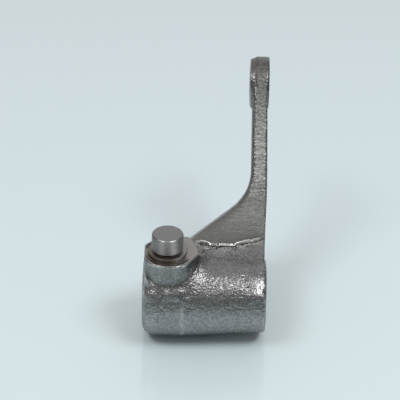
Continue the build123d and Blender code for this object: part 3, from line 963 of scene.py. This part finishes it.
# a profile of (radius, height) pairs carried round an axis; quads join its rings of points, and each
# ring's last point to its first
def turned(name, profile, centre, axis, segments, material, node):
    def clean(work):
        bmesh.ops.remove_doubles(work, verts=work.verts, dist=1e-7)
        bmesh.ops.recalc_face_normals(work, faces=work.faces)

    radius, height = np.array(profile, dtype=float).T
    angle = np.linspace(0, 2 * np.pi, segments, endpoint=False)
    radii, angles = np.meshgrid(radius, angle, indexing="ij")
    along = np.broadcast_to(height[:, None], radii.shape)
    first, second = radii * np.cos(angles), radii * np.sin(angles)
    order = (first, second, along) if axis == "Z" else (along, first, second)
    points = (np.stack(order, -1) + centre).reshape(-1, 3) * mm
    i, j = np.meshgrid(np.arange(len(radius) - 1), np.arange(segments), indexing="ij")
    a, b = i * segments + j, i * segments + (j + 1) % segments
    faces = np.stack([a, b, b + segments, a + segments], -1).reshape(-1, 4)
    mesh = bpy.data.meshes.new(name)
    mesh.from_pydata(points.tolist(), [], faces.tolist())
    mesh.validate()
    rework(mesh, clean)
    mesh.shade_smooth()
    mesh.materials.append(material)
    piece = bpy.data.objects.new(name, mesh)
    bpy.context.scene.collection.objects.link(piece)
    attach(piece, "root")
    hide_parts(node)


# corners of a profile rounded by replacing each with a short arc of points on a quadratic curve
def rounded(profile, easing, points=4):
    corners = np.array(profile, dtype=float)
    before, here, after = corners[:-2], corners[1:-1], corners[2:]
    toBefore, toAfter = before - here, after - here
    lengthBefore = np.linalg.norm(toBefore, axis=1, keepdims=True)
    lengthAfter = np.linalg.norm(toAfter, axis=1, keepdims=True)
    start = here + toBefore / lengthBefore * np.minimum(easing, lengthBefore * 0.45)
    end = here + toAfter / lengthAfter * np.minimum(easing, lengthAfter * 0.45)
    t = np.linspace(0, 1, points)[None, :, None]
    arcs = (1 - t) ** 2 * start[:, None] + 2 * t * (1 - t) * here[:, None] + t ** 2 * end[:, None]
    return np.concatenate([corners[:1], arcs.reshape(-1, 2), corners[-1:]])


pinShape = {
    "radius": 5.0, "top": 23.0, "bottom": 9.55, "lead": 0.6, "topBevel": (0.38, 0.42),
    "shoulder": 6.2, "shoulderTop": 16.95, "shoulderBevel": 0.12,
    "groove": 0.5, "grooveTop": 17.75, "grooveEdge": 0.13, "easing": 0.12, "segments": 160,
}


def makePin():
    p = pinShape
    r, floor, inset = p["radius"], forging["spotFloor"], p["shoulderBevel"]
    acrossTop, downSide = p["topBevel"]
    profile = [
        (0.0, p["bottom"]), (r - p["lead"], p["bottom"]), (r, p["bottom"] + p["lead"]), (r, floor),
        (p["shoulder"], floor), (p["shoulder"], p["shoulderTop"] - inset),
        (p["shoulder"] - inset, p["shoulderTop"]), (r - p["groove"], p["shoulderTop"]),
        (r - p["groove"], p["grooveTop"] - p["grooveEdge"]), (r, p["grooveTop"]),
        (r, p["top"] - downSide), (r - acrossTop, p["top"]), (0.0, p["top"]),
    ]
    turned("rollerPin", rounded(profile, p["easing"]), (forging["pinX"], 0, 0), "Z", p["segments"],
           groundSteel, "roller_pin")


bushShape = {"inner": 8.0, "half": 19.2, "chamfer": 0.5, "easing": 0.1, "segments": 128}


def makeBush():
    b = bushShape
    outer, half, flare = forging["boreRadius"], b["half"], b["inner"] + b["chamfer"]
    profile = [
        (outer, 0.0), (outer, half), (flare, half), (b["inner"], half - b["chamfer"]),
        (b["inner"], b["chamfer"] - half), (flare, -half), (outer, -half), (outer, 0.0),
    ]
    turned("hubBush", rounded(profile, b["easing"]), (0, 0, 0), "X", b["segments"],
           bushBronze, "hub_bush")


makePin()
makeBush()
print("pin and bush made")

studio = {
    "floorZ": -13.42, "floorSize": 3000.0,
    "floorColour": (0.78, 0.905, 0.935), "floorRoughness": 0.12, "floorIndex": 1.7,
    # a plain room, paler behind the object than in front of it and at the sides; the pairs are
    # parts of a direction of length 1
    "frontColour": (0.39, 0.39, 0.39), "backColour": (0.74, 0.74, 0.74),
    "sideColour": (0.20, 0.20, 0.20), "lowColour": (0.11, 0.11, 0.11),
    "toBack": (-0.5, 0.6), "toSides": (0.25, 0.85), "upFront": (0.0, 0.6),
    # one soft box each side of the camera
    "keyElevation": 58.0, "keyAzimuth": 57.0, "keyDistance": 900.0,
    "keyWidth": 440.0, "keyHeight": 220.0, "leftPower": 1.97, "rightPower": 2.42,
}


def makeFloor():
    half = studio["floorSize"] / 2
    corners = [(-half, -half), (half, -half), (half, half), (-half, half)]
    mesh = bpy.data.meshes.new("floor")
    mesh.from_pydata([(a * mm, b * mm, studio["floorZ"] * mm) for a, b in corners], [], [(0, 1, 2, 3)])
    floor = bpy.data.objects.new("floor", mesh)
    bpy.context.scene.collection.objects.link(floor)
    colour, roughness = studio["floorColour"], studio["floorRoughness"]
    material, _, shader = newMaterial("floorGlass", colour, roughness, metallic=0.0)
    shader.inputs["IOR"].default_value = studio["floorIndex"]
    mesh.materials.append(material)


def makeWorld():
    world = bpy.data.worlds.new("studio")
    world.use_nodes = True
    tree = world.node_tree
    around = tree.nodes.new("ShaderNodeTexCoord").outputs["Generated"]
    direction = newNode(tree, "SeparateXYZ", {"Vector": around}).outputs
    backward = rangeNode(tree, direction["Y"], *studio["toBack"])
    sideways = rangeNode(tree, mathNode(tree, "ABSOLUTE", direction["X"]), *studio["toSides"])
    upward = rangeNode(tree, direction["Z"], *studio["upFront"])
    front = mixColour(tree, upward, studio["lowColour"], studio["frontColour"])
    colour = mixColour(tree, backward, front, studio["backColour"])
    colour = mixColour(tree, sideways, colour, studio["sideColour"])
    tree.links.new(colour, tree.nodes["Background"].inputs["Color"])
    bpy.context.scene.world = world


# an object's matrix from its three axes and its place (mm)
def setPlace(thing, axes, place):
    rows = np.eye(4)
    rows[:3, :3] = np.stack(axes, 1)
    rows[:3, 3] = place * mm
    thing.matrix_world = Matrix(rows.tolist())


# a soft box that looks at the origin from an elevation and an azimuth
def keyLight(name, azimuth, power):
    light = bpy.data.lights.new(name, "AREA")
    light.shape = "RECTANGLE"
    light.size, light.size_y = studio["keyWidth"] * mm, studio["keyHeight"] * mm
    light.energy = power
    lamp = bpy.data.objects.new(name, light)
    e, a = np.radians(studio["keyElevation"]), np.radians(azimuth)
    away = np.array([np.cos(e) * np.sin(a), -np.cos(e) * np.cos(a), np.sin(e)])
    side = np.array([np.cos(a), np.sin(a), 0.0])
    setPlace(lamp, (side, np.cross(away, side), away), away * studio["keyDistance"])
    bpy.context.scene.collection.objects.link(lamp)


view = {"pitch": 31.7, "roll": 1.3, "lens": 171.0, "sensor": 36.0, "place": (-2.0, -501.4, 345.2)}


# the camera looks down by the pitch, and the roll turns its right and its up about its own line
def makeCamera():
    data = bpy.data.cameras.new("camera")
    data.lens, data.sensor_width = view["lens"], view["sensor"]
    data.clip_start, data.clip_end = 0.01, 20.0
    camera = bpy.data.objects.new("camera", data)
    p, r = np.radians(view["pitch"]), np.radians(view["roll"])
    ahead = np.array([0, np.cos(p), -np.sin(p)])
    right, up = np.array([1.0, 0, 0]), np.array([0, np.sin(p), np.cos(p)])
    axes = (np.cos(r) * right + np.sin(r) * up, np.cos(r) * up - np.sin(r) * right, -ahead)
    setPlace(camera, axes, np.array(view["place"]))
    bpy.context.scene.collection.objects.link(camera)
    bpy.context.scene.camera = camera


makeFloor()
makeWorld()
keyLight("keyLeft", -studio["keyAzimuth"], studio["leftPower"])
keyLight("keyRight", studio["keyAzimuth"], studio["rightPower"])
makeCamera()
bpy.context.scene.view_settings.view_transform = "Standard"
print("studio made")
